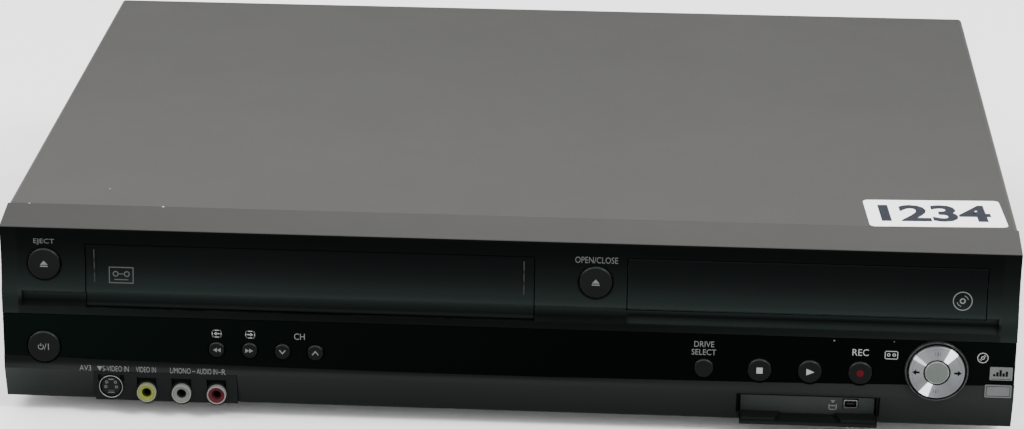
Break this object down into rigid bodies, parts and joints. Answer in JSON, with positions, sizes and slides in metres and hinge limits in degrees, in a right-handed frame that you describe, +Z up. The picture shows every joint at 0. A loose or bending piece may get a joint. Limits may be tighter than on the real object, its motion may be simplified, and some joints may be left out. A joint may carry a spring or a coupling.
{
  "type": "disc and tape combination player",
  "caption": "Full-width black disc and tape combination player: swing-in cassette door, slide-out disc tray, round push buttons, rocking selector, front sockets under a small flap.",
  "frame": {"origin": "centre of the bounding box in plan, on the table plane under the feet", "axes": "+X to the viewer's right along the front, +Y from the front panel to the rear panel, +Z up"},
  "size_m": [0.4336, 0.344, 0.0896],
  "materials": {
    "cover_paint": "satin",
    "screw_black": "satin",
    "sheet_steel": "satin",
    "rear_paint": "matte",
    "foot_plastic": "matte",
    "foot_rubber": "matte",
    "fascia_plastic": "satin",
    "lower_plastic": "satin",
    "window_gloss": "gloss",
    "door_plastic": "satin",
    "tray_plastic": "matte",
    "flap_plastic": "matte",
    "socket_metal": "satin",
    "key_plastic": "satin",
    "bezel_gloss": "gloss",
    "ring_metal": "spun",
    "cap_plastic": "matte",
    "panel_plastic": "satin",
    "jack_yellow": "satin",
    "jack_white": "satin",
    "jack_red": "satin",
    "silver_foil": "satin",
    "label_paper": "matte",
    "board_brown": "matte",
    "tube_glass": "gloss",
    "board_green": "matte",
    "inlet_plastic": "matte",
    "fan_plastic": "satin",
    "deck_metal": "satin",
    "slider_plastic": "matte",
    "basket_metal": "satin",
    "drum_metal": "polished",
    "shaft_steel": "polished",
    "roller_rubber": "matte",
    "reel_plastic": "satin",
    "drive_plastic": "matte",
    "traverse_metal": "satin",
    "spindle_plastic": "satin",
    "sled_metal": "satin",
    "gear_plastic": "satin",
    "clamp_plastic": "satin"
  },
  "bodies": {
    "case": {"top_cover": "cover_paint", "cover_screws": "screw_black", "chassis_base": "sheet_steel", "rear_panel": "rear_paint", "feet": "foot_plastic", "foot_pads": "foot_rubber", "front_fascia": "fascia_plastic", "lower_fascia": "lower_plastic", "display_window": "window_gloss", "dv_socket": "socket_metal", "dial_bezel": "bezel_gloss", "dial_cap": "cap_plastic", "input_panel": "panel_plastic", "svideo_socket": "socket_metal", "video_jack": "jack_yellow", "audio_jack_left": "jack_white", "audio_jack_right": "jack_red", "silver_plates": "silver_foil", "top_label": "label_paper", "button_board": "board_brown", "display_tube": "tube_glass", "main_board": "board_green", "power_board": "board_brown", "mains_inlet": "inlet_plastic", "scart_sockets": "inlet_plastic", "rear_jacks": "inlet_plastic", "fan_housing": "fan_plastic", "deck_frame": "deck_metal", "lower_drum": "drum_metal", "drive_frame": "drive_plastic"},
    "door": {"cassette_door": "door_plastic"},
    "tray": {"tray_front": "door_plastic", "disc_tray": "tray_plastic"},
    "tray_gear_body": {"tray_gear": "gear_plastic"},
    "flap": {"input_flap": "flap_plastic"},
    "dial": {"dial_ring": "ring_metal"},
    "drum": {"upper_drum": "drum_metal"},
    "capstan_body": {"capstan": "shaft_steel"},
    "supply": {"supply_reel": "reel_plastic"},
    "takeup": {"takeup_reel": "reel_plastic"},
    "fan": {"fan_rotor": "fan_plastic"},
    "pinch": {"pinch_arm": "deck_metal"},
    "roller": {"pinch_roller": "roller_rubber"},
    "slider": {"carriage_slider": "slider_plastic"},
    "basket": {"cassette_basket": "basket_metal"},
    "traverse_body": {"traverse": "traverse_metal"},
    "spindle": {"turntable": "spindle_plastic"},
    "sled": {"pickup_sled": "sled_metal"},
    "clamp": {"disc_clamp": "clamp_plastic"},
    "eject_key": {"eject_button": "key_plastic"},
    "open_close_key": {"open_close_button": "key_plastic"},
    "power_key": {"power_button": "key_plastic"},
    "rewind_key": {"rewind_button": "key_plastic"},
    "forward_key": {"forward_button": "key_plastic"},
    "channel_down_key": {"channel_down_button": "key_plastic"},
    "channel_up_key": {"channel_up_button": "key_plastic"},
    "drive_select_key": {"drive_select_button": "key_plastic"},
    "stop_key": {"stop_button": "key_plastic"},
    "play_key": {"play_button": "key_plastic"},
    "record_key": {"record_button": "key_plastic"}
  },
  "joints": [
    {"name": "cassette_door_hinge", "type": "hinge", "parent": "case", "child": "door", "pos_m": [-0.0831, -0.1636, 0.0774], "axis": [1, 0, 0], "range_deg": [0, 80], "stiffness_Nm_per_rad": 0.02, "springref_deg": -28.65},
    {"name": "tray_slide", "type": "slide", "parent": "case", "child": "tray", "axis": [0, -1, 0], "range_m": [0, 0.15]},
    {"name": "tray_gear_turn", "type": "hinge", "parent": "case", "child": "tray_gear_body", "pos_m": [0.075, -0.1365, 0.058], "axis": [0, 0, 1], "range_deg": [-720, 5]},
    {"name": "input_flap_hinge", "type": "hinge", "parent": "case", "child": "flap", "pos_m": [0.1292, -0.16198, 0.0096], "axis": [1, 0, 0], "range_deg": [-72.6, 0]},
    {"name": "eject_press", "type": "slide", "parent": "case", "child": "eject_key", "axis": [0, 1, 0], "range_m": [0, 0.0008], "stiffness_N_per_m": 500, "springref_m": -0.0004},
    {"name": "open_close_press", "type": "slide", "parent": "case", "child": "open_close_key", "axis": [0, 1, 0], "range_m": [0, 0.0008], "stiffness_N_per_m": 500, "springref_m": -0.0004},
    {"name": "power_press", "type": "slide", "parent": "case", "child": "power_key", "axis": [0, 1, 0], "range_m": [0, 0.0008], "stiffness_N_per_m": 500, "springref_m": -0.0004},
    {"name": "rewind_press", "type": "slide", "parent": "case", "child": "rewind_key", "axis": [0, 1, 0], "range_m": [0, 0.0008], "stiffness_N_per_m": 500, "springref_m": -0.0004},
    {"name": "forward_press", "type": "slide", "parent": "case", "child": "forward_key", "axis": [0, 1, 0], "range_m": [0, 0.0008], "stiffness_N_per_m": 500, "springref_m": -0.0004},
    {"name": "channel_down_press", "type": "slide", "parent": "case", "child": "channel_down_key", "axis": [0, 1, 0], "range_m": [0, 0.0008], "stiffness_N_per_m": 500, "springref_m": -0.0004},
    {"name": "channel_up_press", "type": "slide", "parent": "case", "child": "channel_up_key", "axis": [0, 1, 0], "range_m": [0, 0.0008], "stiffness_N_per_m": 500, "springref_m": -0.0004},
    {"name": "drive_select_press", "type": "slide", "parent": "case", "child": "drive_select_key", "axis": [0, 1, 0], "range_m": [0, 0.0008], "stiffness_N_per_m": 500, "springref_m": -0.0004},
    {"name": "stop_press", "type": "slide", "parent": "case", "child": "stop_key", "axis": [0, 1, 0], "range_m": [0, 0.0008], "stiffness_N_per_m": 500, "springref_m": -0.0004},
    {"name": "play_press", "type": "slide", "parent": "case", "child": "play_key", "axis": [0, 1, 0], "range_m": [0, 0.0008], "stiffness_N_per_m": 500, "springref_m": -0.0004},
    {"name": "record_press", "type": "slide", "parent": "case", "child": "record_key", "axis": [0, 1, 0], "range_m": [0, 0.0008], "stiffness_N_per_m": 500, "springref_m": -0.0004},
    {"name": "dial_rock", "type": "hinge", "parent": "case", "child": "dial", "pos_m": [0.1822, -0.162, 0.0336], "axis": [0, 0, 1], "range_deg": [-2.5, 2.5], "stiffness_Nm_per_rad": 0.2},
    {"name": "drum_spin", "type": "hinge", "parent": "case", "child": "drum", "pos_m": [-0.083, 0.0195, 0.05], "axis": [0, 0, 1], "continuous": true},
    {"name": "capstan_spin", "type": "hinge", "parent": "case", "child": "capstan_body", "pos_m": [-0.022, -0.0025, 0.04], "axis": [0, 0, 1], "continuous": true},
    {"name": "supply_reel_spin", "type": "hinge", "parent": "case", "child": "supply", "pos_m": [-0.1291, -0.0625, 0.025], "axis": [0, 0, 1], "continuous": true},
    {"name": "takeup_reel_spin", "type": "hinge", "parent": "case", "child": "takeup", "pos_m": [-0.0371, -0.0625, 0.025], "axis": [0, 0, 1], "continuous": true},
    {"name": "fan_spin", "type": "hinge", "parent": "case", "child": "fan", "pos_m": [0.128, 0.1635, 0.047], "axis": [0, 1, 0], "continuous": true},
    {"name": "pinch_arm_swing", "type": "hinge", "parent": "case", "child": "pinch", "pos_m": [-0.004, 0.0255, 0.04], "axis": [0, 0, 1], "range_deg": [-8.8, 0], "stiffness_Nm_per_rad": 0.05, "springref_deg": 5.73},
    {"name": "pinch_roller_spin", "type": "hinge", "parent": "pinch", "child": "roller", "pos_m": [-0.0101, -0.0011, 0.04], "axis": [0, 0, 1], "continuous": true},
    {"name": "carriage_slide", "type": "slide", "parent": "case", "child": "slider", "axis": [0, 1, 0], "range_m": [0, 0.04]},
    {"name": "basket_lower", "type": "slide", "parent": "slider", "child": "basket", "axis": [0, 0, -1], "range_m": [0, 0.024]},
    {"name": "traverse_lift", "type": "slide", "parent": "case", "child": "traverse_body", "axis": [0, 0, 1], "range_m": [0, 0.0035]},
    {"name": "spindle_spin", "type": "hinge", "parent": "traverse_body", "child": "spindle", "pos_m": [0.1266, -0.0885, 0.06], "axis": [0, 0, 1], "continuous": true},
    {"name": "sled_slide", "type": "slide", "parent": "traverse_body", "child": "sled", "axis": [0, 1, 0], "range_m": [-0.01, 0.016]},
    {"name": "clamp_spin", "type": "hinge", "parent": "case", "child": "clamp", "pos_m": [0.1266, -0.0885, 0.07], "axis": [0, 0, 1], "continuous": true}
  ],
  "couplings": [
    {"joint": "tray_gear_turn", "follows": "tray_slide", "rad_per_m": -83.333}
  ]
}
